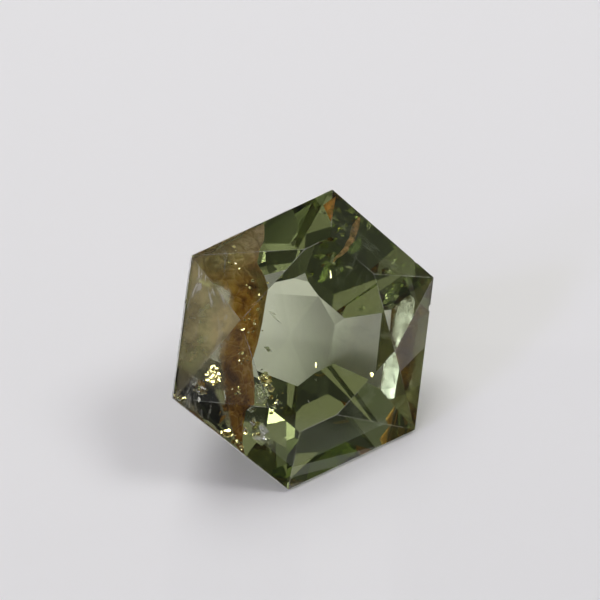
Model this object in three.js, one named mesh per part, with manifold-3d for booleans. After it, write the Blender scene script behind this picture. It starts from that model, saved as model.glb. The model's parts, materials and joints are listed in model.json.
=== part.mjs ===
// A hexagon-cut green sapphire that lies on one of its pavilion facets, as a loose stone lies on a table.
// Units are millimetres. The stone is written as a cutter's sheet: every facet is a plane, the stone's axis is Z,
// the table faces +Z and the upper edge of the girdle is at z = 0. At the end it is laid down on its facet.
import * as THREE from 'three';
import { mergeVertices } from 'three/addons/utils/BufferGeometryUtils.js';
import Module from 'manifold-3d';

// Driving dimensions.
const crownHeight = 0.54;
const girdleThickness = 0.1;

// The six sides, clockwise from the top corner as seen from above the table.
// azimuth is the way a side faces and reach its distance from the axis.
// crown and pavilion are the slopes of its two main facets.
// tableEdge is the stretch of its line on the table that the corner facets leave, as fractions of the whole line.
// step is the lower facet round the culet: the way it faces, its slope, and the depth at which it meets the axis.
const sides = {
  upperRight: {
    azimuth: 51.7, reach: 3.57, crown: 25.4, pavilion: 45.4, tableEdge: [0, 0.61],
    step: { azimuth: 51.7, slope: 30.9, depth: 3.16 },
  },
  right: {
    azimuth: -7.2, reach: 3.445, crown: 26.0, pavilion: 54.4, tableEdge: [0.58, 0.58],
    step: { azimuth: -7.9, slope: 38.1, depth: 3.47 },
  },
  lowerRight: {
    azimuth: -67.7, reach: 3.47, crown: 21.0, pavilion: 44.8, tableEdge: [0.59, 1],
    step: { azimuth: -68.2, slope: 35.2, depth: 3.22 },
  },
  lowerLeft: {
    azimuth: -127.2, reach: 3.46, crown: 22.6, pavilion: 41.2, tableEdge: [0, 0.46],
    step: { azimuth: -127.5, slope: 40.5, depth: 3.13 },
  },
  left: {
    azimuth: 172.2, reach: 3.54, crown: 21.5, pavilion: 54.4, tableEdge: [0.57, 0.57],
    step: { azimuth: 170.3, slope: 14.9, depth: 2.21 },
  },
  upperLeft: {
    azimuth: 113.7, reach: 3.375, crown: 27.6, pavilion: 47.1, tableEdge: [0.69, 1],
    step: { azimuth: 114.2, slope: 24.3, depth: 2.80 },
  },
};

// Nicks in the girdle: how far along the side, clockwise, how far the nick is centred outside the edge, and its size.
const nicks = [
  { side: 'right', along: 0.2, out: 0.02, size: [0.1, 0.07, 0.08] },
  { side: 'upperRight', along: 0.82, out: 0.02, size: [0.07, 0.05, 0.06] },
  { side: 'left', along: 0.68, out: 0.02, size: [0.09, 0.06, 0.07] },
];

const restSide = 'lowerRight';
const turnOnFloor = 10.4;
const meetTolerance = 1e-5;

const radians = THREE.MathUtils.degToRad;
const sideList = Object.values(sides);

function outward(azimuth) {
  return new THREE.Vector3(Math.cos(radians(azimuth)), Math.sin(radians(azimuth)), 0);
}

// A facet's direction: slope 0 faces straight up for the crown and straight down for the pavilion.
function crownDirection(azimuth, slope) {
  return outward(azimuth).multiplyScalar(Math.sin(radians(slope))).setZ(Math.cos(radians(slope)));
}

function pavilionDirection(azimuth, slope) {
  return crownDirection(azimuth, slope).multiply(new THREE.Vector3(1, 1, -1));
}

function facetThrough(direction, point) {
  return new THREE.Plane().setFromNormalAndCoplanarPoint(direction, point);
}

// The point where three facets meet, or null when they share no single point.
function meetPoint(a, b, c) {
  const bc = new THREE.Vector3().crossVectors(b.normal, c.normal);
  const ca = new THREE.Vector3().crossVectors(c.normal, a.normal);
  const ab = new THREE.Vector3().crossVectors(a.normal, b.normal);
  const volume = a.normal.dot(bc);
  if (Math.abs(volume) < meetTolerance) return null;
  return bc.multiplyScalar(a.constant).addScaledVector(ca, b.constant).addScaledVector(ab, c.constant)
    .multiplyScalar(-1 / volume);
}

const table = facetThrough(new THREE.Vector3(0, 0, 1), new THREE.Vector3(0, 0, crownHeight));
const girdleTop = facetThrough(new THREE.Vector3(0, 0, 1), new THREE.Vector3());

// The facets that belong to one side.
function facetsOfSide({ azimuth, reach, crown, pavilion, step }) {
  const topEdge = outward(azimuth).multiplyScalar(reach);
  const lowerEdge = topEdge.clone().setZ(-girdleThickness);
  return {
    girdle: facetThrough(outward(azimuth), topEdge),
    crown: facetThrough(crownDirection(azimuth, crown), topEdge),
    pavilion: facetThrough(pavilionDirection(azimuth, pavilion), lowerEdge),
    step: facetThrough(pavilionDirection(step.azimuth, step.slope), new THREE.Vector3(0, 0, -step.depth)),
  };
}

// The two ends of each side's stretch of the table edge.
function tableEdges(cut) {
  const corners = cut.map((facets, i) => meetPoint(table, cut.at(i - 1).crown, facets.crown));
  return cut.map((facets, i) => sideList[i].tableEdge.map(
    (along) => corners[i].clone().lerp(corners[(i + 1) % corners.length], along)));
}

// The star facet at each corner where the table edge is cut back, through the girdle corner and two table points.
function starFacets(cut) {
  const edges = tableEdges(cut);
  const stars = [];
  cut.forEach((facets, i) => {
    const next = (i + 1) % cut.length;
    const start = edges[i][1];
    const end = edges[next][0];
    if (start.distanceTo(end) < meetTolerance) return;
    const corner = meetPoint(girdleTop, facets.girdle, cut[next].girdle);
    const star = new THREE.Plane().setFromCoplanarPoints(corner, end, start);
    stars.push(star.normal.z > 0 ? star : star.negate());
  });
  return stars;
}

// The corners of one facet, in order round it, seen from outside.
function facetOutline(facet, corners) {
  const onFacet = corners.filter((corner) => Math.abs(facet.distanceToPoint(corner)) < meetTolerance);
  if (onFacet.length < 3) return [];
  const middle = onFacet.reduce((sum, corner) => sum.add(corner), new THREE.Vector3())
    .divideScalar(onFacet.length);
  const across = onFacet[0].clone().sub(middle).normalize();
  const along = new THREE.Vector3().crossVectors(facet.normal, across);
  const bearing = (corner) => {
    const arm = corner.clone().sub(middle);
    return Math.atan2(arm.dot(along), arm.dot(across));
  };
  return onFacet.sort((a, b) => bearing(a) - bearing(b));
}

// The stone is what lies behind every facet.
function stoneBehind(facets) {
  const corners = [];
  facets.forEach((a, i) => facets.slice(i + 1).forEach((b, j) => facets.slice(i + j + 2).forEach((c) => {
    const point = meetPoint(a, b, c);
    if (!point || facets.some((facet) => facet.distanceToPoint(point) > meetTolerance)) return;
    if (!corners.some((corner) => corner.distanceTo(point) < meetTolerance)) corners.push(point);
  })));
  const positions = [];
  for (const facet of facets) {
    const outline = facetOutline(facet, corners);
    for (let i = 1; i + 1 < outline.length; i += 1) {
      for (const corner of [outline[0], outline[i], outline[i + 1]]) positions.push(...corner.toArray());
    }
  }
  const geometry = new THREE.BufferGeometry();
  geometry.setAttribute('position', new THREE.Float32BufferAttribute(positions, 3));
  return geometry;
}

const cutFacets = sideList.map(facetsOfSide);
const allFacets = [table, ...cutFacets.flatMap((facets) => Object.values(facets)), ...starFacets(cutFacets)];

// A small shell-shaped break on the upper edge of the girdle.
function nickGeometry({ side, along, out, size }) {
  const index = Object.keys(sides).indexOf(side);
  const { girdle } = cutFacets[index];
  const start = meetPoint(girdleTop, cutFacets.at(index - 1).girdle, girdle);
  const end = meetPoint(girdleTop, girdle, cutFacets[(index + 1) % cutFacets.length].girdle);
  const place = start.lerp(end, along).addScaledVector(girdle.normal, out);
  const turn = new THREE.Quaternion().setFromUnitVectors(new THREE.Vector3(0, 1, 0), girdle.normal);
  const shell = new THREE.IcosahedronGeometry(1, 1).scale(...size);
  return shell.applyQuaternion(turn).translate(...place.toArray());
}

const wasm = await Module();
wasm.setup();

function toSolid(geometry) {
  const bare = geometry.clone();
  bare.deleteAttribute('normal');
  bare.deleteAttribute('uv');
  const merged = mergeVertices(bare, meetTolerance);
  return new wasm.Manifold(new wasm.Mesh({
    numProp: 3,
    vertProperties: new Float32Array(merged.getAttribute('position').array),
    triVerts: new Uint32Array(merged.getIndex().array),
  }));
}

function toGeometry(solid) {
  const { vertProperties, triVerts } = solid.getMesh();
  const geometry = new THREE.BufferGeometry();
  geometry.setAttribute('position', new THREE.Float32BufferAttribute(vertProperties, 3));
  geometry.setIndex(new THREE.Uint32BufferAttribute(triVerts, 1));
  return geometry;
}

function cutStone() {
  const whole = toSolid(stoneBehind(allFacets));
  const nicked = nicks.reduce((stone, nick) => stone.subtract(toSolid(nickGeometry(nick))), whole);
  return toGeometry(nicked);
}

// Lays the stone on its facet, turns it on the floor, and puts the middle of its box's base at the origin.
function layDown(stone) {
  const restFacet = cutFacets[Object.keys(sides).indexOf(restSide)].pavilion;
  stone.quaternion.setFromUnitVectors(restFacet.normal, new THREE.Vector3(0, 0, -1));
  stone.quaternion.premultiply(
    new THREE.Quaternion().setFromAxisAngle(new THREE.Vector3(0, 0, 1), radians(turnOnFloor)));
  const box = new THREE.Box3().setFromObject(stone, true);
  const middle = box.getCenter(new THREE.Vector3());
  stone.position.set(-middle.x, -middle.y, -box.min.z);
}

const sapphireColour = new THREE.Color(0.52, 0.56, 0.44);
const sapphire = new THREE.Mesh(
  cutStone(),
  new THREE.MeshStandardMaterial({ color: sapphireColour, roughness: 0.03, metalness: 0, flatShading: true }),
);
sapphire.name = 'sapphire';
layDown(sapphire);

const part = new THREE.Group();
part.add(sapphire);

export default part;
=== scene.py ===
import bmesh
import bpy
import json
import math
import random
from mathutils import Matrix, Vector, noise


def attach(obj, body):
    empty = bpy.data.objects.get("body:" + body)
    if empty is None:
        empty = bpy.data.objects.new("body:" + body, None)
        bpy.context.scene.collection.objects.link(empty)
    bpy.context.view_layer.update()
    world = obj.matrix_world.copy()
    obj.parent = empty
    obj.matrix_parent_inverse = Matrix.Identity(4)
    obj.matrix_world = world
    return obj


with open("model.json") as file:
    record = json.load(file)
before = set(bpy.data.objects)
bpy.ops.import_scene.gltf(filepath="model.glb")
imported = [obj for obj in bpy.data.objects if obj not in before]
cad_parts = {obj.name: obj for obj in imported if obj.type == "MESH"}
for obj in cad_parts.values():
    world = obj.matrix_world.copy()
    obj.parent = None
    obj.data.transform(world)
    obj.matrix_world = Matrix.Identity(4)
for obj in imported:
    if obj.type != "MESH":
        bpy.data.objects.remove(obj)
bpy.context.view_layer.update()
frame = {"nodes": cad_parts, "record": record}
mm = 0.001
scene = bpy.context.scene
print("frame loaded:", list(frame["nodes"]))


# Small helpers for materials

def newMaterial(name):
    material = bpy.data.materials.new(name)
    material.use_nodes = True
    tree = material.node_tree
    return material, tree, tree.nodes["Principled BSDF"]


def setInputs(node, **values):
    for name, value in values.items():
        node.inputs[name.replace("_", " ")].default_value = value


def shaded(colour, share):
    return tuple(value * share for value in colour[:3]) + (1,)


# The way that a bearing and a height point. Bearing 0 is away from the camera, and 90 is to its right.
def direction(bearing, elevation):
    b, e = math.radians(bearing), math.radians(elevation)
    return Vector((math.sin(b) * math.cos(e), math.cos(b) * math.cos(e), math.sin(e)))


# The stone's own glass: clear, with the grey-green tint that grows with the path through it

crystal = {
    "ior": 1.768,
    "tint": (0.562, 0.630, 0.27, 1.0),
    "tintDensity": 300.0,                  # per metre
}


tableMount = next(mount for mount in frame["record"]["mounts"] if mount["name"] == "table_facet")


def makeCrystal(look):
    material, tree, shader = newMaterial("sapphire crystal")
    setInputs(shader, Base_Color=(1, 1, 1, 1), Roughness=0.0, IOR=look["ior"], Transmission_Weight=1.0)
    tint = tree.nodes.new("ShaderNodeVolumeAbsorption")
    setInputs(tint, Color=look["tint"], Density=look["tintDensity"])
    tree.links.new(tint.outputs["Volume"], tree.nodes["Material Output"].inputs["Volume"])
    return material


stone = bpy.data.objects["sapphire"]
for slot in stone.material_slots:
    slot.material = makeCrystal(crystal)
print("crystal material made")


# Thin sheets inside the stone. Each is a wavy grid, cut off just under the facets, then made a thin
# closed shell.

underFacets = 0.02 * mm
filmThickness = 0.01 * mm
smallestFacet = 0.05                       # square millimetres: the faces of the nicks are smaller


def facetPlanes(smallest):
    mesh = bmesh.new()
    mesh.from_mesh(stone.data)
    largest = {}
    total = {}
    for face in mesh.faces:
        reach = face.normal.dot(face.verts[0].co)
        key = tuple(round(value, 2) for value in (*face.normal, reach / mm))
        total[key] = total.get(key, 0) + face.calc_area()
        if key not in largest or face.calc_area() > largest[key][2]:
            largest[key] = (face.normal.copy(), reach, face.calc_area())
    mesh.free()
    return [largest[key][:2] for key in largest if total[key] > smallest * mm * mm]


facets = facetPlanes(smallestFacet)


def keepInside(mesh):
    for normal, reach in facets:
        bmesh.ops.bisect_plane(mesh, geom=mesh.verts[:] + mesh.edges[:] + mesh.faces[:], dist=1e-9,
                               plane_co=normal * (reach - underFacets), plane_no=normal, clear_outer=True)


# place gives the point for a share across and a share down, and mapPlace what the UV map holds there
def makeSheet(name, place, mapPlace, columns, rows, thickness):
    mesh = bmesh.new()
    layer = mesh.loops.layers.uv.new("place")
    shares = [[(column / columns, row / rows) for column in range(columns + 1)] for row in range(rows + 1)]
    grid = [[mesh.verts.new(place(*share)) for share in row] for row in shares]
    for row in range(rows):
        for column in range(columns):
            ring = ((row, column), (row, column + 1), (row + 1, column + 1), (row + 1, column))
            for corners in (ring[:3], (ring[0], ring[2], ring[3])):
                face = mesh.faces.new([grid[r][c] for r, c in corners])
                for loop, (r, c) in zip(face.loops, corners):
                    loop[layer].uv = mapPlace(*shares[r][c])
    keepInside(mesh)
    bmesh.ops.recalc_face_normals(mesh, faces=mesh.faces[:])
    bmesh.ops.solidify(mesh, geom=mesh.faces[:], thickness=thickness)
    bmesh.ops.recalc_face_normals(mesh, faces=mesh.faces[:])
    return finishPiece(name, mesh)


def finishPiece(name, mesh):
    data = bpy.data.meshes.new(name)
    mesh.to_mesh(data)
    mesh.free()
    for face in data.polygons:
        face.use_smooth = True
    piece = bpy.data.objects.new(name, data)
    scene.collection.objects.link(piece)
    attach(piece, "root")
    return piece


# What lies at a share of the way along a list: a point between two points, or a number between two numbers
def alongLine(values, share):
    step = share * (len(values) - 1)
    start = min(int(step), len(values) - 2)
    return values[start] + (values[start + 1] - values[start]) * (step - start)


def points(*places):
    return [Vector(place) * mm for place in places]


# The stained fracture. It meets the surface in a jagged line from the back edge to the front one, and dives
# to the left under the crown, as far as the left girdle.

fracture = {
    "edge": points(
        (-1.17, 1.95, 4.90), (-1.18, 1.46, 4.75), (-1.29, 1.14, 4.69), (-1.34, 0.84, 4.53),
        (-1.12, 0.56, 4.33), (-1.02, 0.32, 4.17), (-1.08, -0.05, 3.91), (-1.13, -0.41, 3.64),
        (-1.22, -0.82, 3.34), (-1.36, -1.25, 3.04), (-1.27, -1.69, 2.58), (-1.25, -2.04, 2.22),
        (-1.46, -2.17, 2.11), (-1.52, -2.40, 1.75), (-1.52, -2.69, 1.27), (-1.40, -2.90, 0.90)),
    "rim": points((-3.15, 0.80, 4.85), (-3.28, -0.80, 3.66), (-3.45, -2.30, 2.50)),
    "dive": Vector((-0.09, 0.60, -0.80)),
    "depth": 0.75 * mm,
    "wrinkle": 0.10 * mm,
    "wrinkleSize": 0.55 * mm,
    "columns": 110,
    "rows": 150,
    "thickness": 0.012 * mm,
    "stainReach": [1.50, 1.30, 0.96, 0.68, 0.53, 0.46, 0.44, 0.45, 0.42, 0.36, 0.24, 0.14, 0.08],
    "pale": (1.0, 0.87, 0.74, 1.0),
    # the near-black of the painted shade on the film's lower corner
    "dark": (0.03, 0.035, 0.025, 1.0),
    "stains": {0.30: (0.10, 0.040, 0.005, 1), 0.42: (0.34, 0.15, 0.015, 1), 0.51: (0.66, 0.33, 0.04, 1),
               0.61: (0.85, 0.52, 0.09, 1), 0.74: (1.0, 0.80, 0.35, 1)},
    # the colour of the painted highlights along the creases of the cracks
    "highlightGold": (1.0, 0.62, 0.20, 1.0),
    "olive": (0.42, 0.36, 0.10, 1.0),
    "tan": (0.66, 0.56, 0.27, 1.0),
    "crackSize": 0.34 * mm,
    "crackBend": 0.60 * mm,
    "raggedness": {"Scale": 1300.0, "Detail": 5.0, "Roughness": 0.6},
    "raggedShare": 0.9,
    "streaks": {"Scale": 1250.0, "Detail": 9.0, "Roughness": 0.66, "Distortion": 0.5},
    # Each range is (from, to, value at from, value at to)
    "column": (1.20, 1.62, 1.0, 0.0),
    "columnTop": (0.0, 0.32, 0.75, 1.0),
    "cornerDown": (0.68, 0.78, 0.0, 1.0),
    "cornerAcross": (1.5, 1.9, 0.0, 1.0),
    "creaseWidth": (0.0, 0.07, 1.0, 0.0),
    "creaseStrength": (0.40, 0.60, 0.1, 0.9),
    "oliveAcross": (0.50, 0.72, 0.75, 0.0),
    "oliveStart": (0.20, 0.28, 0.0, 1.0),
    "oliveEnd": (0.46, 0.58, 1.0, 0.0),
    "tanTop": (0.05, 0.38, 0.75, 0.0),
    "thinStain": (0.38, 0.56, 0.12, 0.45),
    "crackRelief": (0.0, 0.30, 0.0, 0.35),
    "bump": (0.9, 0.10 * mm),              # strength and distance
}

# A milky veil above the fracture's left part, with pale fibres in it
veil = {
    "depth": 0.30 * mm,
    "across": (0.45, 1.0),
    "columns": 70,
    "rows": 120,
    "colour": (0.97, 0.95, 0.90, 1.0),
    "stretch": {"Rotation": (0.2, 0.5, 0.5), "Scale": (1.0, 0.35, 0.35)},
    "fibres": {"Scale": 2600.0, "Detail": 6.0, "Roughness": 0.62, "Distortion": 0.8},
    "density": (0.50, 0.72, 0.0, 0.45),
    "bump": (0.6, 0.05 * mm),
}

# A paler skin under the left crown facet, a three-cornered film with white curling threads
facetSkin = {
    "corners": points((-3.02, 0.71, 4.83), (-3.33, -2.23, 2.51), (-1.70, -0.53, 3.84)),
    "depth": 0.05 * mm,
    "cuts": 12,
    "colour": (0.94, 0.82, 0.46, 1.0),
    "threadColour": (0.97, 0.95, 0.90, 1.0),
    "darker": 0.55,
    "stretch": {"Rotation": (0.3, 0.9, 0.35), "Scale": (1.0, 0.30, 0.30)},
    "fibres": {"Scale": 2300.0, "Detail": 7.0, "Roughness": 0.60, "Distortion": 1.2},
    "blotches": {"Scale": 900.0, "Detail": 6.0, "Roughness": 0.65},
    "blotchStops": (0.36, 0.60),
    "threads": (0.52, 0.58, 0.0, 1.0),
    "threadsNearTop": (3.6 * mm, 4.2 * mm, 0.25, 1.0),
    "denserRight": (-2.60 * mm, -2.05 * mm, 0.0, 0.42),
    "density": (0.38, 0.62, 0.28, 0.55),
    "densest": 0.95,
    "bump": (0.7, 0.06 * mm),
}

# A thin cloud just under the table and the crown round it
cloud = {
    "depth": 0.35 * mm,
    "left": -1.6 * mm,
    "right": 3.3 * mm,
    "length": 7.0 * mm,
    "cells": 40,                           # each way
    "colour": (0.80, 0.86, 0.76, 1.0),
    "wisps": {"Scale": 1100.0, "Detail": 7.0, "Roughness": 0.62, "Distortion": 0.7},
    "density": (0.47, 0.74, 0.0, 0.12),
    "fadeLeft": (0.35, 0.60, 0.0, 1.0),
    "nearFront": (0.79, 0.87, 0.0, 0.10),  # more of it under the front crown facet
}


def fracturePlace(look, depth, across, down):
    edge, rim = alongLine(look["edge"], down), alongLine(look["rim"], down)
    bowl = math.sin(math.pi * across) ** 0.6 * math.sin(math.pi * down) ** 0.4
    point = edge.lerp(rim, across) + look["dive"] * depth * bowl
    wave = noise.fractal(point / look["wrinkleSize"], 0.9, 2.1, 4)
    return point + look["dive"] * look["wrinkle"] * wave * min(1.0, across * 12)


def addNoise(tree, vector, **values):
    texture = tree.nodes.new("ShaderNodeTexNoise")
    setInputs(texture, **values)
    tree.links.new(vector, texture.inputs["Vector"])
    return texture.outputs["Fac"]


def objectPlace(tree):
    return tree.nodes.new("ShaderNodeTexCoord").outputs["Object"]


# The shares across and down that a sheet's UV map holds
def sheetPlace(tree):
    placeMap = tree.nodes.new("ShaderNodeUVMap")
    placeMap.uv_map = "place"
    shares = tree.nodes.new("ShaderNodeSeparateXYZ")
    tree.links.new(placeMap.outputs["UV"], shares.inputs["Vector"])
    return shares.outputs["X"], shares.outputs["Y"]


def addFibres(tree, place, look):
    stretch = tree.nodes.new("ShaderNodeMapping")
    setInputs(stretch, **look["stretch"])
    tree.links.new(place, stretch.inputs["Vector"])
    return addNoise(tree, stretch.outputs["Vector"], **look["fibres"])


def addRange(tree, value, fromMin, fromMax, toMin, toMax):
    node = tree.nodes.new("ShaderNodeMapRange")
    node.interpolation_type = "SMOOTHSTEP"
    setInputs(node, From_Min=fromMin, From_Max=fromMax, To_Min=toMin, To_Max=toMax)
    tree.links.new(value, node.inputs["Value"])
    return node.outputs["Result"]


def addRamp(tree, value, stops):
    ramp = tree.nodes.new("ShaderNodeValToRGB")
    places = sorted(stops)
    elements = ramp.color_ramp.elements
    elements[0].position, elements[1].position = places[0], places[-1]
    elements[0].color, elements[1].color = stops[places[0]], stops[places[-1]]
    for place in places[1:-1]:
        elements.new(place).color = stops[place]
    tree.links.new(value, ramp.inputs["Fac"])
    return ramp.outputs["Color"]


def addMath(tree, operation, first, second):
    node = tree.nodes.new("ShaderNodeMath")
    node.operation = operation
    for socket, value in zip(node.inputs, (first, second)):
        if isinstance(value, float):
            socket.default_value = value
        else:
            tree.links.new(value, socket)
    return node.outputs["Value"]


def addBump(tree, height, strength, distance, shader):
    bump = tree.nodes.new("ShaderNodeBump")
    setInputs(bump, Strength=strength, Distance=distance)
    tree.links.new(height, bump.inputs["Height"])
    tree.links.new(bump.outputs["Normal"], shader.inputs["Normal"])


# Curved cells with thin creases between them, like the flakes of broken glass
def addCracks(tree, vector, size, bend):
    sway = tree.nodes.new("ShaderNodeTexNoise")
    setInputs(sway, Scale=0.5 / size, Detail=3.0)
    tree.links.new(vector, sway.inputs["Vector"])
    moved = tree.nodes.new("ShaderNodeVectorMath")
    moved.operation = "MULTIPLY_ADD"
    tree.links.new(sway.outputs["Color"], moved.inputs[0])
    moved.inputs[1].default_value = (bend, bend, bend)
    tree.links.new(vector, moved.inputs[2])
    cells = tree.nodes.new("ShaderNodeTexVoronoi")
    cells.feature = "DISTANCE_TO_EDGE"
    cells.inputs["Scale"].default_value = 1.0 / size
    tree.links.new(moved.outputs["Vector"], cells.inputs["Vector"])
    return cells.outputs["Distance"]


def addMix(tree, share, first, second):
    mix = tree.nodes.new("ShaderNodeMixRGB")
    tree.links.new(share, mix.inputs["Fac"])
    for socket, colour in ((mix.inputs["Color1"], first), (mix.inputs["Color2"], second)):
        if isinstance(colour, tuple):
            socket.default_value = colour
        else:
            tree.links.new(colour, socket)
    return mix.outputs["Color"]


# The stain on the fracture, with painted golden highlights along its creases and painted shade on its lower
# corner
def makeStainWithPaintedLight(look):
    material, tree, shader = newMaterial("iron stain with painted highlights and shade")
    setInputs(shader, Roughness=0.24, IOR=1.3, Transmission_Weight=0.45)
    place = objectPlace(tree)
    across, down = sheetPlace(tree)
    ragged = addNoise(tree, place, **look["raggedness"])
    reach = addMath(tree, "ADD", across, addMath(tree, "MULTIPLY", ragged, look["raggedShare"]))
    inColumn = addRange(tree, reach, *look["column"])
    stained = addMath(tree, "MULTIPLY", inColumn, addRange(tree, down, *look["columnTop"]))
    # painted shade: a near-black patch over the film's lower corner, past the stain
    corner = addMath(tree, "MULTIPLY", addRange(tree, down, *look["cornerDown"]),
                     addRange(tree, reach, *look["cornerAcross"]))
    ground = addMix(tree, corner, look["pale"], look["dark"])
    streaks = addNoise(tree, place, **look["streaks"])
    cracks = addCracks(tree, place, look["crackSize"], look["crackBend"])
    # painted highlights: thin golden lines along the creases of the cracks, strongest where the streaks are
    creases = addMath(tree, "MULTIPLY", addRange(tree, cracks, *look["creaseWidth"]),
                      addRange(tree, streaks, *look["creaseStrength"]))
    rustAndHighlights = addMix(tree, creases, addRamp(tree, streaks, look["stains"]), look["highlightGold"])
    olive = addMath(tree, "MULTIPLY", addRange(tree, reach, *look["oliveAcross"]),
                    addRange(tree, down, *look["oliveStart"]))
    olive = addMath(tree, "MULTIPLY", olive, addRange(tree, down, *look["oliveEnd"]))
    rustAndHighlights = addMix(tree, olive, rustAndHighlights, look["olive"])
    rustAndHighlights = addMix(tree, addRange(tree, down, *look["tanTop"]), rustAndHighlights, look["tan"])
    tree.links.new(addMix(tree, stained, ground, rustAndHighlights), shader.inputs["Base Color"])
    covered = addMath(tree, "MAXIMUM", inColumn, corner)
    thin = addRange(tree, streaks, *look["thinStain"])
    tree.links.new(addMath(tree, "MAXIMUM", thin, covered), shader.inputs["Alpha"])
    relief = addMath(tree, "ADD", streaks, addRange(tree, cracks, *look["crackRelief"]))
    addBump(tree, relief, *look["bump"], shader)
    return material


def makeMilk(look):
    material, tree, shader = newMaterial("milky veil")
    setInputs(shader, Base_Color=look["colour"], Roughness=0.4, IOR=1.35, Transmission_Weight=0.2)
    fibres = addFibres(tree, objectPlace(tree), look)
    tree.links.new(addRange(tree, fibres, *look["density"]), shader.inputs["Alpha"])
    addBump(tree, fibres, *look["bump"], shader)
    return material


def makeFracture(look):
    def place(across, down):
        return fracturePlace(look, look["depth"], across, down)

    def stainPlace(across, down):
        return across / alongLine(look["stainReach"], down), down

    sheet = makeSheet("fracture", place, stainPlace, look["columns"], look["rows"], look["thickness"])
    sheet.data.materials.append(makeStainWithPaintedLight(look))
    return sheet


def makeVeil(look, near):
    start, end = look["across"]

    def place(across, down):
        return fracturePlace(near, look["depth"], start + (end - start) * across, down)

    def mapPlace(across, down):
        return across, down

    sheet = makeSheet("veil", place, mapPlace, look["columns"], look["rows"], near["thickness"])
    sheet.data.materials.append(makeMilk(look))
    return sheet


def makeSkin(look):
    material, tree, shader = newMaterial("pale skin")
    setInputs(shader, Roughness=0.45, IOR=1.25, Transmission_Weight=0.15)
    place = objectPlace(tree)
    fibres = addFibres(tree, place, look)
    blotches = addNoise(tree, place, **look["blotches"])
    low, high = look["blotchStops"]
    ground = addRamp(tree, blotches, {low: shaded(look["colour"], look["darker"]), high: look["colour"]})
    parts = tree.nodes.new("ShaderNodeSeparateXYZ")
    tree.links.new(place, parts.inputs["Vector"])
    nearTop = addRange(tree, parts.outputs["Z"], *look["threadsNearTop"])
    threads = addMath(tree, "MULTIPLY", addRange(tree, fibres, *look["threads"]), nearTop)
    tree.links.new(addMix(tree, threads, ground, look["threadColour"]), shader.inputs["Base Color"])
    denser = addRange(tree, parts.outputs["X"], *look["denserRight"])
    dense = addMath(tree, "ADD", addRange(tree, blotches, *look["density"]), denser)
    dense = addMath(tree, "MAXIMUM", dense, addMath(tree, "MULTIPLY", threads, look["densest"]))
    tree.links.new(addMath(tree, "MINIMUM", dense, look["densest"]), shader.inputs["Alpha"])
    addBump(tree, fibres, *look["bump"], shader)
    return material


def makeFacetSkin(look):
    corners = look["corners"]
    inward = (corners[1] - corners[0]).cross(corners[2] - corners[0]).normalized()
    inward = inward if inward.z < 0 else -inward
    mesh = bmesh.new()
    mesh.faces.new([mesh.verts.new(corner + inward * look["depth"]) for corner in corners])
    bmesh.ops.subdivide_edges(mesh, edges=mesh.edges[:], cuts=look["cuts"], use_grid_fill=True)
    keepInside(mesh)
    bmesh.ops.solidify(mesh, geom=mesh.faces[:], thickness=filmThickness)
    bmesh.ops.recalc_face_normals(mesh, faces=mesh.faces[:])
    piece = finishPiece("facetSkin", mesh)
    piece.data.materials.append(makeSkin(look))
    return piece


def makeHaze(look):
    material, tree, shader = newMaterial("thin cloud")
    setInputs(shader, Base_Color=look["colour"], Roughness=0.6, IOR=1.1, Transmission_Weight=0.2)
    wisps = addNoise(tree, objectPlace(tree), **look["wisps"])
    across, down = sheetPlace(tree)
    fade = addRange(tree, across, *look["fadeLeft"])
    dense = addMath(tree, "MULTIPLY", addRange(tree, wisps, *look["density"]), fade)
    front = addRange(tree, down, *look["nearFront"])
    tree.links.new(addMath(tree, "ADD", dense, front), shader.inputs["Alpha"])
    return material


# The table's own plane, moved down into the stone
def makeCloud(look, table):
    up = Vector(table["axis"])
    middle = Vector(table["pos_m"]) - up * look["depth"]
    right = (Vector((1, 0, 0)) - up * up.x).normalized()
    back = up.cross(right)

    def place(across, down):
        sideways = look["left"] + (look["right"] - look["left"]) * across
        return middle + right * (sideways - middle.x) / right.x + back * look["length"] * (0.5 - down)

    def mapPlace(across, down):
        return across, down

    sheet = makeSheet("cloud", place, mapPlace, look["cells"], look["cells"], filmThickness)
    sheet.data.materials.append(makeHaze(look))
    return sheet


makeFracture(fracture)
makeVeil(veil, fracture)
makeFacetSkin(facetSkin)
makeCloud(cloud, tableMount)
print("fracture, veil, skin and cloud made")


# Two specks of rust away from the fracture: a thread below the top corner, and a wedge under it

rust = {
    "thread": points((1.28, 2.86, 4.18), (1.18, 2.55, 4.14), (1.10, 2.18, 4.09), (0.96, 1.80, 4.11),
                     (0.79, 1.58, 4.07), (0.64, 1.42, 4.01)),
    "threadWidths": [0.03 * mm, 0.12 * mm, 0.10 * mm, 0.08 * mm, 0.055 * mm, 0.02 * mm],
    "threadSides": 10,
    "threadRings": 40,
    "threadWobble": 0.035 * mm,
    "wobbleSize": 0.25 * mm,
    "wobbleSeed": 1,                       # without one the wobble changes from run to run
    "wedge": points((0.66, 3.03, 4.79), (0.34, 2.71, 4.77), (0.56, 2.27, 4.63)),
    "wedgeThickness": 0.015 * mm,
    "wedgeCuts": 4,
    "colour": (0.88, 0.45, 0.08, 1.0),
    "threadColour": (0.85, 0.56, 0.22, 1.0),
    "darker": 0.45,
    "grain": {"Scale": 5200.0, "Detail": 6.0, "Roughness": 0.6},
    "grainStops": (0.35, 0.62),
    "densityStops": (0.35, 0.65),
    "densest": 0.95,
}


def makeRust(name, look, colour, thinnest):
    material, tree, shader = newMaterial(name)
    setInputs(shader, Roughness=0.5, IOR=1.15, Transmission_Weight=0.5)
    grain = addNoise(tree, objectPlace(tree), **look["grain"])
    low, high = look["grainStops"]
    colours = addRamp(tree, grain, {low: shaded(colour, look["darker"]), high: colour})
    tree.links.new(colours, shader.inputs["Base Color"])
    density = addRange(tree, grain, *look["densityStops"], thinnest, look["densest"])
    tree.links.new(density, shader.inputs["Alpha"])
    return material


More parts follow.
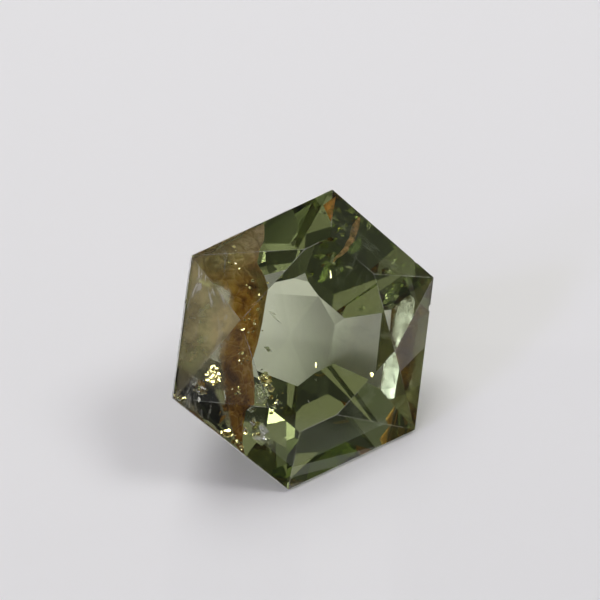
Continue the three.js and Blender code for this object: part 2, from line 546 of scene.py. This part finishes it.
def makeThread(look):
    mesh = bmesh.new()
    sides = look["threadSides"]
    shares = [ring / look["threadRings"] for ring in range(look["threadRings"] + 1)]
    path = [alongLine(look["thread"], share) for share in shares]
    noise.seed_set(look["wobbleSeed"])
    path = [point + noise.noise_vector(point / look["wobbleSize"]) * look["threadWobble"] for point in path]
    widths = [alongLine(look["threadWidths"], share) for share in shares]
    rings = []
    for index, (middle, width) in enumerate(zip(path, widths)):
        along = (path[min(index + 1, len(path) - 1)] - path[max(index - 1, 0)]).normalized()
        side = along.cross(Vector((0, 0, 1))).normalized()
        over = along.cross(side)
        rings.append([mesh.verts.new(middle + (side * math.cos(angle) + over * math.sin(angle) * 0.5) * width)
                      for angle in (math.tau * step / sides for step in range(sides))])
    for near, far in zip(rings, rings[1:]):
        for step in range(sides):
            after = (step + 1) % sides
            mesh.faces.new((near[step], near[after], far[after], far[step]))
    mesh.faces.new(rings[0])
    mesh.faces.new(rings[-1])
    bmesh.ops.recalc_face_normals(mesh, faces=mesh.faces[:])
    piece = finishPiece("rustThread", mesh)
    piece.data.materials.append(makeRust("rust thread", look, look["threadColour"], 0.35))
    return piece


def makeWedge(look):
    mesh = bmesh.new()
    mesh.faces.new([mesh.verts.new(corner) for corner in look["wedge"]])
    bmesh.ops.subdivide_edges(mesh, edges=mesh.edges[:], cuts=look["wedgeCuts"], use_grid_fill=True)
    keepInside(mesh)
    bmesh.ops.solidify(mesh, geom=mesh.faces[:], thickness=look["wedgeThickness"])
    bmesh.ops.recalc_face_normals(mesh, faces=mesh.faces[:])
    piece = finishPiece("rustWedge", mesh)
    piece.data.materials.append(makeRust("rust wedge", look, look["colour"], 0.5))
    return piece


makeThread(rust)
makeWedge(rust)
print("rust made")


# The crushed corner and the small cracks: thin flat gaps that mirror the light, and bright glints. Each
# cluster is (middle, radius, count, smallest, largest, and where they share one the way they face and how
# far they stray from it), and each plate (place, facing, half length, half width), in millimetres.

flakes = {
    "seed": 7,
    "thickness": 0.035,                    # as a share of the size
    "curve": 0.05,
    "sides": 4,
    "raggedness": 0.022 * mm,
    "raggedSize": 0.25 * mm,
    "clusters": [
        ((-2.40, -1.45, 2.60), 0.22, 6, 0.07, 0.16),
        ((-2.70, -1.90, 2.35), 0.38, 14, 0.07, 0.26),
        ((-2.10, -2.15, 1.95), 0.36, 14, 0.07, 0.26),
        ((-1.08, -1.30, 2.75), 0.26, 9, 0.06, 0.20),
        ((-0.92, -1.50, 2.20), 0.30, 10, 0.07, 0.22),
        ((-0.60, -1.75, 1.90), 0.30, 6, 0.05, 0.14),
        ((-1.10, -1.85, 2.10), 0.36, 15, 0.08, 0.30),
        ((-1.15, -2.30, 1.45), 0.38, 16, 0.08, 0.32),
        ((-0.75, -2.55, 1.10), 0.32, 9, 0.07, 0.24),
        ((-1.75, -2.50, 1.45), 0.25, 9, 0.06, 0.18),
        ((2.60, 1.90, 2.95), 0.20, 3, 0.04, 0.08),
        ((0.45, -1.30, 1.70), 0.60, 4, 0.04, 0.09),
    ],
    "plates": [
        ((-0.85, -0.04, 3.38), (0.82, 0.33, 0.46), 0.34, 0.05),
        ((-0.93, 0.05, 3.46), (0.70, 0.28, 0.66), 0.16, 0.04),
        ((-1.00, -0.72, 2.88), (0.75, 0.10, 0.65), 0.15, 0.09),
        ((-0.93, -0.80, 2.93), (-0.30, 0.50, 0.81), 0.10, 0.06),
    ],
}

glints = {
    "seed": 3,
    "colour": (1.0, 0.94, 0.46, 1.0),
    "roughness": 0.06,
    "darker": 0.6,
    "grain": {"Scale": 9000.0, "Detail": 4.0, "Roughness": 0.6},
    "grainStops": (0.35, 0.55),
    "bump": (0.15, 0.01 * mm),
    "thickness": 0.05,
    "curve": 0.03,
    "sides": 5,
    "raggedness": 0.012 * mm,
    "raggedSize": 0.25 * mm,
    "clusters": [
        ((-2.37, -1.52, 2.84), 0.17, 12, 0.06, 0.15, (-0.005, -0.525, 0.851), 0.03),
        ((-2.33, -1.68, 2.68), 0.17, 12, 0.06, 0.15, (-0.005, -0.525, 0.851), 0.03),
        ((-3.10, -2.11, 2.47), 0.04, 4, 0.03, 0.06, (-0.005, -0.525, 0.851), 0.03),
        ((-1.94, -2.50, 1.54), 0.14, 7, 0.09, 0.17, (-0.011, -0.625, 0.780), 0.03),
        ((-1.60, -2.66, 1.28), 0.20, 12, 0.03, 0.10, (-0.011, -0.625, 0.780), 0.08),
        ((-1.25, -2.40, 1.65), 0.30, 14, 0.03, 0.10, (-0.011, -0.625, 0.780), 0.15),
        ((-0.98, -1.50, 2.50), 0.22, 18, 0.03, 0.12, (0.099, -0.483, 0.870), 0.15),
        ((-0.75, -1.85, 2.10), 0.26, 10, 0.02, 0.07, (0.099, -0.483, 0.870), 0.15),
        ((-1.70, 0.90, 4.48), 0.40, 12, 0.02, 0.06, (0.0, -0.50, 0.860), 0.25),
        ((-1.45, 0.30, 4.05), 0.35, 12, 0.02, 0.07, (0.0, -0.50, 0.860), 0.25),
        ((-1.40, -0.40, 3.55), 0.30, 12, 0.02, 0.06, (0.0, -0.50, 0.860), 0.25),
        ((-1.65, -1.05, 3.05), 0.30, 12, 0.02, 0.06, (0.0, -0.53, 0.850), 0.25),
        ((-1.75, -1.80, 2.40), 0.30, 12, 0.02, 0.06, (0.0, -0.58, 0.810), 0.25),
    ],
    "plates": [
        ((1.81, -0.58, 1.78), (0.099, -0.483, 0.870), 0.09, 0.06),
        ((0.31, -0.78, 2.37), (0.099, -0.483, 0.870), 0.09, 0.035),
        ((0.61, 1.08, 3.89), (0.099, -0.483, 0.870), 0.14, 0.022),
    ],
}


# Every plate as (place, turn, stretch): the clusters' by chance, the rest as listed
def flakePlaces(look):
    chance = random.Random(look["seed"])
    places = []
    for middle, radius, count, smallest, largest, *facing in look["clusters"]:
        for _ in range(count):
            step = Vector([chance.gauss(0, 0.5) for _ in range(3)]) * radius
            size = chance.uniform(smallest, largest) * mm
            turn = [chance.uniform(0, math.tau) for _ in range(3)]
            if facing:
                tilt = Vector(facing[0]) + Vector([chance.gauss(0, facing[1]) for _ in range(3)])
                turn = tilt.to_track_quat("Z", "Y").to_euler()
            place = (Vector(middle) + step) * mm
            room = size * (0.3 if facing else 1.0)
            if all(normal.dot(place) < reach - room for normal, reach in facets):
                places.append((place, turn, (size, size * chance.uniform(0.5, 1.0), size)))
    for place, facing, halfLength, halfWidth in look["plates"]:
        turn = Vector(facing).to_track_quat("Z", "Y").to_euler()
        places.append((Vector(place) * mm, turn, (halfWidth * mm, halfLength * mm, halfWidth * mm)))
    return places


def addGeometryInput(tree, name, kind, value):
    socket = tree.interface.new_socket(name=name, in_out="INPUT", socket_type=kind)
    socket.default_value = value
    return socket.identifier


def namedVector(tree, name):
    node = tree.nodes.new("GeometryNodeInputNamedAttribute")
    node.data_type = "FLOAT_VECTOR"
    node.inputs["Name"].default_value = name
    return node.outputs["Attribute"]


# Runs a tree on its piece with the values given, and keeps the plain mesh that comes out
def finishTree(piece, tree, identifiers):
    modifier = piece.modifiers.new(tree.name, "NODES")
    modifier.node_group = tree
    for identifier, value in identifiers.items():
        modifier[identifier] = value
    seen = piece.evaluated_get(bpy.context.evaluated_depsgraph_get())
    piece.data = bpy.data.meshes.new_from_object(seen)
    piece.modifiers.remove(modifier)
    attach(piece, "root")
    return piece


# Geometry Nodes: a small curved plate on every point, turned and stretched as the point says
def makeFlakes(name, look, material):
    places = flakePlaces(look)
    base = bpy.data.meshes.new(name)
    base.from_pydata([place for place, turn, stretch in places], [], [])
    for title, column in (("turn", 1), ("stretch", 2)):
        attribute = base.attributes.new(title, "FLOAT_VECTOR", "POINT")
        for item, row in zip(attribute.data, places):
            item.vector = row[column]
    piece = bpy.data.objects.new(name, base)
    scene.collection.objects.link(piece)
    tree = bpy.data.node_groups.new(name, "GeometryNodeTree")
    tree.interface.new_socket(name="Geometry", in_out="INPUT", socket_type="NodeSocketGeometry")
    identifiers = {
        addGeometryInput(tree, "Thickness", "NodeSocketFloat", 0.0): look["thickness"],
        addGeometryInput(tree, "Curve", "NodeSocketFloat", 0.0): look["curve"],
        addGeometryInput(tree, "Raggedness", "NodeSocketFloat", 0.0): look["raggedness"],
        addGeometryInput(tree, "Ragged size", "NodeSocketFloat", 1.0): look["raggedSize"],
        addGeometryInput(tree, "Sides", "NodeSocketInt", 3): look["sides"],
        addGeometryInput(tree, "Material", "NodeSocketMaterial", None): material,
    }
    tree.interface.new_socket(name="Geometry", in_out="OUTPUT", socket_type="NodeSocketGeometry")
    nodes, links = tree.nodes, tree.links
    given = nodes.new("NodeGroupInput")

    # One plate: a flat many-sided disc, cut finer and bent into a shallow dish
    disc = nodes.new("GeometryNodeMeshCone")
    disc.fill_type = "TRIANGLE_FAN"
    setInputs(disc, Radius_Top=0.9, Radius_Bottom=1.0)
    links.new(given.outputs["Sides"], disc.inputs["Vertices"])
    links.new(given.outputs["Thickness"], disc.inputs["Depth"])
    finer = nodes.new("GeometryNodeSubdivideMesh")
    setInputs(finer, Level=2)
    links.new(disc.outputs["Mesh"], finer.inputs["Mesh"])
    spot = nodes.new("GeometryNodeInputPosition")
    parts = nodes.new("ShaderNodeSeparateXYZ")
    links.new(spot.outputs["Position"], parts.inputs["Vector"])
    squares = [addMath(tree, "MULTIPLY", parts.outputs[axis], parts.outputs[axis]) for axis in "XY"]
    rise = addMath(tree, "MULTIPLY", addMath(tree, "ADD", *squares), given.outputs["Curve"])
    lift = nodes.new("ShaderNodeCombineXYZ")
    links.new(rise, lift.inputs["Z"])
    dish = nodes.new("GeometryNodeSetPosition")
    links.new(finer.outputs["Mesh"], dish.inputs["Geometry"])
    links.new(lift.outputs["Vector"], dish.inputs["Offset"])

    scatter = nodes.new("GeometryNodeInstanceOnPoints")
    links.new(given.outputs["Geometry"], scatter.inputs["Points"])
    links.new(dish.outputs["Geometry"], scatter.inputs["Instance"])
    links.new(namedVector(tree, "turn"), scatter.inputs["Rotation"])
    links.new(namedVector(tree, "stretch"), scatter.inputs["Scale"])
    whole = nodes.new("GeometryNodeRealizeInstances")
    links.new(scatter.outputs["Instances"], whole.inputs["Geometry"])

    # Ragged outlines: every point is pushed about by a noise as large as a plate
    push = nodes.new("ShaderNodeTexNoise")
    setInputs(push, Detail=2.0)
    links.new(addMath(tree, "DIVIDE", 1.0, given.outputs["Ragged size"]), push.inputs["Scale"])
    centred = nodes.new("ShaderNodeVectorMath")
    centred.operation = "SUBTRACT"
    centred.inputs[1].default_value = (0.5, 0.5, 0.5)
    links.new(push.outputs["Color"], centred.inputs[0])
    strength = nodes.new("ShaderNodeVectorMath")
    strength.operation = "SCALE"
    links.new(centred.outputs["Vector"], strength.inputs[0])
    links.new(addMath(tree, "MULTIPLY", given.outputs["Raggedness"], 2.0), strength.inputs["Scale"])
    ragged = nodes.new("GeometryNodeSetPosition")
    links.new(whole.outputs["Geometry"], ragged.inputs["Geometry"])
    links.new(strength.outputs["Vector"], ragged.inputs["Offset"])
    dressed = nodes.new("GeometryNodeSetMaterial")
    links.new(ragged.outputs["Geometry"], dressed.inputs["Geometry"])
    links.new(given.outputs["Material"], dressed.inputs["Material"])
    links.new(dressed.outputs["Geometry"], nodes.new("NodeGroupOutput").inputs["Geometry"])

    return finishTree(piece, tree, identifiers)


# Air in a crack: light that meets it at a slant is mirrored whole
def makeAirGap():
    material, tree, shader = newMaterial("air gap")
    setInputs(shader, Base_Color=(1, 1, 1, 1), Roughness=0.0, IOR=1.0 / crystal["ior"],
              Transmission_Weight=1.0)
    return material


# Tiny platelets that shine like metal
def makePlatelet(look):
    material, tree, shader = newMaterial("glint")
    setInputs(shader, Roughness=look["roughness"], Metallic=1.0)
    grain = addNoise(tree, objectPlace(tree), **look["grain"])
    low, high = look["grainStops"]
    colours = addRamp(tree, grain, {low: shaded(look["colour"], look["darker"]), high: look["colour"]})
    tree.links.new(colours, shader.inputs["Base Color"])
    addBump(tree, grain, *look["bump"], shader)
    return material


makeFlakes("flakes", flakes, makeAirGap())
makeFlakes("glints", glints, makePlatelet(glints))
print("flakes and glints made")


# The frost on the girdle, a white skin on the stone's thin edge that is also a painted highlight along it,
# and pale lines along the edges of the crown

girdleFrostAndHighlight = {
    "tableToGirdle": 0.59 * mm,            # from the table down to the middle of the girdle
    "halfHeight": 0.055 * mm,
    "thickness": 0.004 * mm,
    "cuts": 2,
    "density": (0.6, 1.0),                 # least and most
}

# thin pale lines along the crown's edges, in the frost's colour
crownEdgeLines = {
    "radius": 0.008 * mm,
    "sides": 6,
    "leastBend": 3,                        # degrees between two facets
    "shortest": 0.2 * mm,
    "crownRise": 0.3,                      # how far a face turns to the table to count as crown
    "density": (0.0, 0.26),
}

frost = {
    "colour": (0.95, 0.95, 0.92, 1.0),
    "darker": 0.75,
    "grain": {"Scale": 1200.0, "Detail": 8.0, "Roughness": 0.7},
    "grainStops": (0.35, 0.6),
    "densityStops": (0.42, 0.60),
}


def makeFrostMaterial(name, look, density):
    material, tree, shader = newMaterial(name)
    setInputs(shader, Roughness=0.5)
    grain = addNoise(tree, objectPlace(tree), **look["grain"])
    low, high = look["grainStops"]
    colours = addRamp(tree, grain, {low: shaded(look["colour"], look["darker"]), high: look["colour"]})
    tree.links.new(colours, shader.inputs["Base Color"])
    tree.links.new(addRange(tree, grain, *look["densityStops"], *density), shader.inputs["Alpha"])
    return material


# A copy of the stone with its loose triangles joined at their corners
def joinedCopy():
    mesh = bmesh.new()
    mesh.from_mesh(stone.data)
    bmesh.ops.remove_doubles(mesh, verts=mesh.verts[:], dist=1e-7)
    return mesh


# The girdle's white skin: partly a frosted girdle, partly a painted highlight along the stone's edge
def makeGirdleFrostAndHighlight(look, table):
    up = Vector(table["axis"])
    level = up.dot(Vector(table["pos_m"])) - look["tableToGirdle"]
    mesh = joinedCopy()
    beside = [face for face in mesh.faces if abs(face.normal.dot(up)) > 0.02
              or any(abs(vert.co.dot(up) - level) > look["halfHeight"] for vert in face.verts)]
    bmesh.ops.delete(mesh, geom=beside, context="FACES")
    bmesh.ops.subdivide_edges(mesh, edges=mesh.edges[:], cuts=look["cuts"], use_grid_fill=True)
    bmesh.ops.solidify(mesh, geom=mesh.faces[:], thickness=-look["thickness"])
    bmesh.ops.recalc_face_normals(mesh, faces=mesh.faces[:])
    piece = finishPiece("girdleFrostAndHighlight", mesh)
    piece.data.materials.append(makeFrostMaterial("girdle frost and highlight", frost, look["density"]))
    return piece


# Geometry Nodes: a thin round line along every edge where two crown facets meet
def makeCrownEdgeLines(look, table):
    up = Vector(table["axis"])
    mesh = joinedCopy()
    crownEdges = [edge for edge in mesh.edges if len(edge.link_faces) == 2
                  and all(face.normal.dot(up) > look["crownRise"] for face in edge.link_faces)
                  and edge.calc_face_angle() > math.radians(look["leastBend"])
                  and edge.calc_length() > look["shortest"]]
    ends = [vert.co.copy() for edge in crownEdges for vert in edge.verts]
    mesh.free()
    base = bpy.data.meshes.new("crownEdgeLines")
    base.from_pydata(ends, [(2 * index, 2 * index + 1) for index in range(len(ends) // 2)], [])
    piece = bpy.data.objects.new("crownEdgeLines", base)
    scene.collection.objects.link(piece)
    material = makeFrostMaterial("pale edge line", frost, look["density"])
    tree = bpy.data.node_groups.new("crown edge lines", "GeometryNodeTree")
    tree.interface.new_socket(name="Geometry", in_out="INPUT", socket_type="NodeSocketGeometry")
    identifiers = {
        addGeometryInput(tree, "Radius", "NodeSocketFloat", 0.001): look["radius"],
        addGeometryInput(tree, "Sides", "NodeSocketInt", 3): look["sides"],
        addGeometryInput(tree, "Material", "NodeSocketMaterial", None): material,
    }
    tree.interface.new_socket(name="Geometry", in_out="OUTPUT", socket_type="NodeSocketGeometry")
    nodes, links = tree.nodes, tree.links
    given = nodes.new("NodeGroupInput")
    lines = nodes.new("GeometryNodeMeshToCurve")
    links.new(given.outputs["Geometry"], lines.inputs["Mesh"])
    ring = nodes.new("GeometryNodeCurvePrimitiveCircle")
    links.new(given.outputs["Radius"], ring.inputs["Radius"])
    links.new(given.outputs["Sides"], ring.inputs["Resolution"])
    rods = nodes.new("GeometryNodeCurveToMesh")
    rods.inputs["Fill Caps"].default_value = True
    links.new(lines.outputs["Curve"], rods.inputs["Curve"])
    links.new(ring.outputs["Curve"], rods.inputs["Profile Curve"])
    whole = nodes.new("GeometryNodeRealizeInstances")
    links.new(rods.outputs["Mesh"], whole.inputs["Geometry"])
    dressed = nodes.new("GeometryNodeSetMaterial")
    links.new(whole.outputs["Geometry"], dressed.inputs["Geometry"])
    links.new(given.outputs["Material"], dressed.inputs["Material"])
    links.new(dressed.outputs["Geometry"], nodes.new("NodeGroupOutput").inputs["Geometry"])
    return finishTree(piece, tree, identifiers)


makeGirdleFrostAndHighlight(girdleFrostAndHighlight, tableMount)
makeCrownEdgeLines(crownEdgeLines, tableMount)
print("girdle frost and highlight and crown edge lines made")


# The floor, a sheet of white paper

floor = {
    "size": 1.2,
    "gap": 0.03 * mm,                      # air under the facet that the stone lies on
    "colour": (0.86, 0.866, 0.873, 1.0),
    "roughness": 0.6,
}


def makeFloor(look):
    half, z = look["size"] / 2, -look["gap"]
    mesh = bpy.data.meshes.new("floor")
    corners = [(-half, -half, z), (half, -half, z), (half, half, z), (-half, half, z)]
    mesh.from_pydata(corners, [], [(0, 1, 2, 3)])
    sheet = bpy.data.objects.new("floor", mesh)
    scene.collection.objects.link(sheet)
    material, tree, shader = newMaterial("white paper")
    setInputs(shader, Base_Color=look["colour"], Roughness=look["roughness"])
    mesh.materials.append(material)
    return sheet


makeFloor(floor)
print("floor made")


# The room round the stone: an even grey, a dark side in front, and soft bright panels. Each patch is
# (bearing, elevation, radius, soft edge, brightness), in degrees, and two panels are a cool white.

room = {
    "colour": (0.41, 0.39, 0.37, 1.0),
    "patches": {
        "overCorner": (156, 37, 3, 3, 0.18),
        "lowCorner": (165, 8, 7, 3, 0.06),
        "overLeft": (132, 62, 5, 3, 0.04),
        "overTop": (55, 72, 5, 3, 0.05),
        "rightSide": (69, 22, 9, 4, 0.10),
        "lowSide": (117, 3, 6, 4, 0.08),
        "darkFront": (129, 41, 14, 3, 0.05),
        "darkFrontLow": (147, 25.5, 7, 1.5, 0.06),
        "darkMiddle": (172, 52, 8, 4, 0.06),
        "darkSpot": (160, 17, 2, 2, 0.08),
        "lowRight": (92, 2, 14, 8, 0.10),
        "wallLeft": (-95, 40, 6, 4, 0.20),
        "panelLeft": (-106, 34, 3, 1, (12.5, 12.3, 22.0)),
        "panelLeftLow": (-119, 28, 2.5, 1, (9.5, 9.2, 16.0)),
        "panelRight": (100, 32, 2, 1, 1.8),
    },
}

# Two round studio lamps behind the stone, and one high on the left that only brings out the glints.
# Each is (bearing, elevation, radius in degrees, power in watts).

lamps = {
    "distance": 0.2,
    "places": {
        "keyLamp": (-20.8, 50, 14, 0.132),
        "fillLamp": (65, 56, 10, 0.085),
        "glintLamp": (-90, 70, 10, 0.12),
    },
}


def makeRoom(look):
    world = bpy.data.worlds.new("room")
    scene.world = world
    world.use_nodes = True
    tree = world.node_tree
    background = tree.nodes["Background"]
    coordinates = tree.nodes.new("ShaderNodeTexCoord")
    last = None
    for name, (bearing, elevation, radius, edge, brightness) in look["patches"].items():
        toward = tree.nodes.new("ShaderNodeVectorMath")
        toward.operation = "DOT_PRODUCT"
        tree.links.new(coordinates.outputs["Generated"], toward.inputs[0])
        toward.inputs[1].default_value = direction(bearing, elevation)
        share = tree.nodes.new("ShaderNodeMapRange")
        share.interpolation_type = "SMOOTHSTEP"
        share.inputs["From Min"].default_value = math.cos(math.radians(radius + edge))
        share.inputs["From Max"].default_value = math.cos(math.radians(radius))
        tree.links.new(toward.outputs["Value"], share.inputs["Value"])
        mix = tree.nodes.new("ShaderNodeMixRGB")
        mix.label = name
        tree.links.new(share.outputs["Result"], mix.inputs["Fac"])
        mix.inputs["Color1"].default_value = look["colour"]
        shade = brightness if isinstance(brightness, tuple) else (brightness,) * 3
        mix.inputs["Color2"].default_value = (*shade, 1)
        if last:
            tree.links.new(last, mix.inputs["Color1"])
        last = mix.outputs["Color"]
    tree.links.new(last, background.inputs["Color"])


def makeLamps(look):
    for name, (bearing, elevation, radius, power) in look["places"].items():
        data = bpy.data.lights.new(name, "AREA")
        data.shape = "DISK"
        data.size = 2 * look["distance"] * math.tan(math.radians(radius))
        data.energy = power
        lamp = bpy.data.objects.new(name, data)
        lamp.visible_diffuse = name != "glintLamp"
        scene.collection.objects.link(lamp)
        away = direction(bearing, elevation)
        turn = away.to_track_quat("Z", "Y").to_matrix().to_4x4()
        lamp.matrix_world = Matrix.Translation(away * look["distance"]) @ turn


# Cards on the floor that show only in the stone: painted shade on the floor, where dark things in front of it
# and the stone's own shade under it would darken it

cards = {
    "height": -0.01 * mm,                  # between the floor and the facet that the stone lies on
    "places": {                            # (left, front, width, length, grey), in millimetres
        "cardFront": (-3.3, -9.3, 3.5, 5.1, 0.04),
        "cardNear": (0.6, -4.2, 0.8, 1.5, 0.15),
        "cardRight": (2.6, -9.0, 9.0, 11.0, 0.04),
        "cardFarLeft": (-13.0, 1.5, 4.0, 2.5, 0.28),
        "cardUnder": (-0.95, 0.6, 2.4, 2.8, 0.40),
    },
    "fade": (-0.90 * mm, 0.55 * mm),       # where the shade under the stone starts and is full
}


def makeCards(look):
    for name, (*place, grey) in look["places"].items():
        x, y, width, length = [value * mm for value in place]
        z = look["height"]
        mesh = bpy.data.meshes.new(name)
        mesh.from_pydata([(x, y, z), (x + width, y, z), (x + width, y + length, z), (x, y + length, z)],
                         [], [(0, 1, 2, 3)])
        material, tree, shader = newMaterial(name)
        setInputs(shader, Base_Color=(grey, grey, grey, 1), Roughness=0.9)
        # painted shade under the stone: this card fades from the floor's white into its grey
        if name == "cardUnder":
            shade = tree.nodes.new("ShaderNodeSeparateXYZ")
            tree.links.new(objectPlace(tree), shade.inputs["Vector"])
            start, end = look["fade"]
            deeper = addRange(tree, shade.outputs["X"], start, end, 0.0, 1.0)
            faded = addMix(tree, deeper, floor["colour"], (grey, grey, grey, 1))
            tree.links.new(faded, shader.inputs["Base Color"])
        mesh.materials.append(material)
        card = bpy.data.objects.new(name, mesh)
        scene.collection.objects.link(card)
        card.visible_camera = False
        card.visible_diffuse = False
        card.visible_shadow = False


makeRoom(room)
makeLamps(lamps)
makeCards(cards)
print("light made")


# The camera: a long lens above the stone

view = {
    "elevation": 51.34,
    "roll": 2.43,
    "distance": 88.2 * mm,
    "target": Vector((-0.163, 0.680, 3.266)) * mm,
    "lens": 199.6,
    "sensor": 36.0,
}


def makeCamera(look):
    data = bpy.data.cameras.new("camera")
    data.sensor_width = look["sensor"]
    data.lens = look["lens"]
    data.clip_start = 1 * mm
    camera = bpy.data.objects.new("camera", data)
    scene.collection.objects.link(camera)
    back = direction(180, look["elevation"])
    roll = Matrix.Rotation(math.radians(look["roll"]), 4, "Z")
    turn = back.to_track_quat("Z", "Y").to_matrix().to_4x4() @ roll
    camera.matrix_world = Matrix.Translation(look["target"] + back * look["distance"]) @ turn
    scene.camera = camera


makeCamera(view)
scene.view_settings.view_transform = "Standard"
bounces = 24
scene.cycles.max_bounces = bounces
scene.cycles.transmission_bounces = bounces
scene.cycles.glossy_bounces = bounces
scene.cycles.transparent_max_bounces = bounces
print("camera made")
